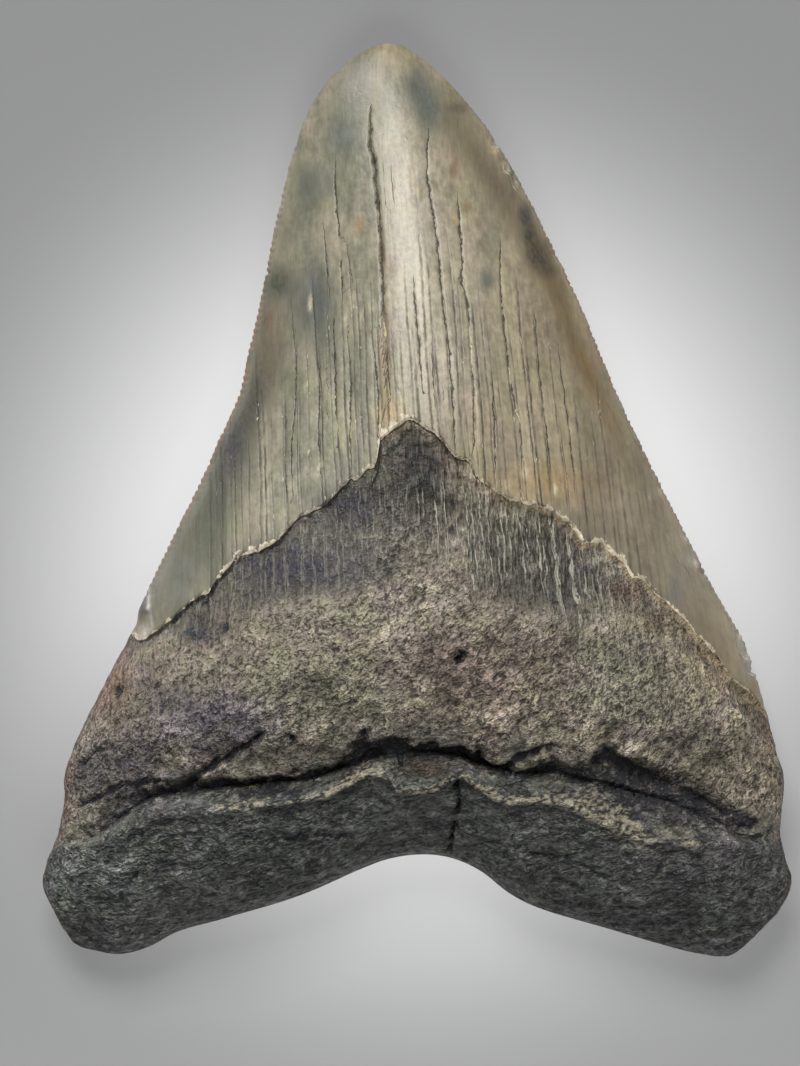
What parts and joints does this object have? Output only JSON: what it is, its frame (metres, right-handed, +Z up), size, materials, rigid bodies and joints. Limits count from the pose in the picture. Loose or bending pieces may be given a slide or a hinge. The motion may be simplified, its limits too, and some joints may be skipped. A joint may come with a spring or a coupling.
{
  "type": "megalodon tooth",
  "caption": "Large triangular fossil shark tooth with serrated cutting edges, cracked enamel crown, dark band below it and a thick, pitted, two-lobed root, lying on its flatter face.",
  "frame": {"origin": "middle of the tooth's outline, on the surface that it rests on", "axes": "+Y from the root to the tip of the crown, +Z up from the flatter outer face to the bulging inner face, +X to the right as seen from above with the tip away from the viewer"},
  "size_m": [0.0972, 0.1188, 0.0265],
  "materials": {
    "fossil_tooth": "fossilised tooth: satin olive-grey enamel on the crown, matt brown-black pitted root"
  },
  "bodies": {
    "root": {"tooth": "fossil_tooth"}
  },
  "joints": []
}
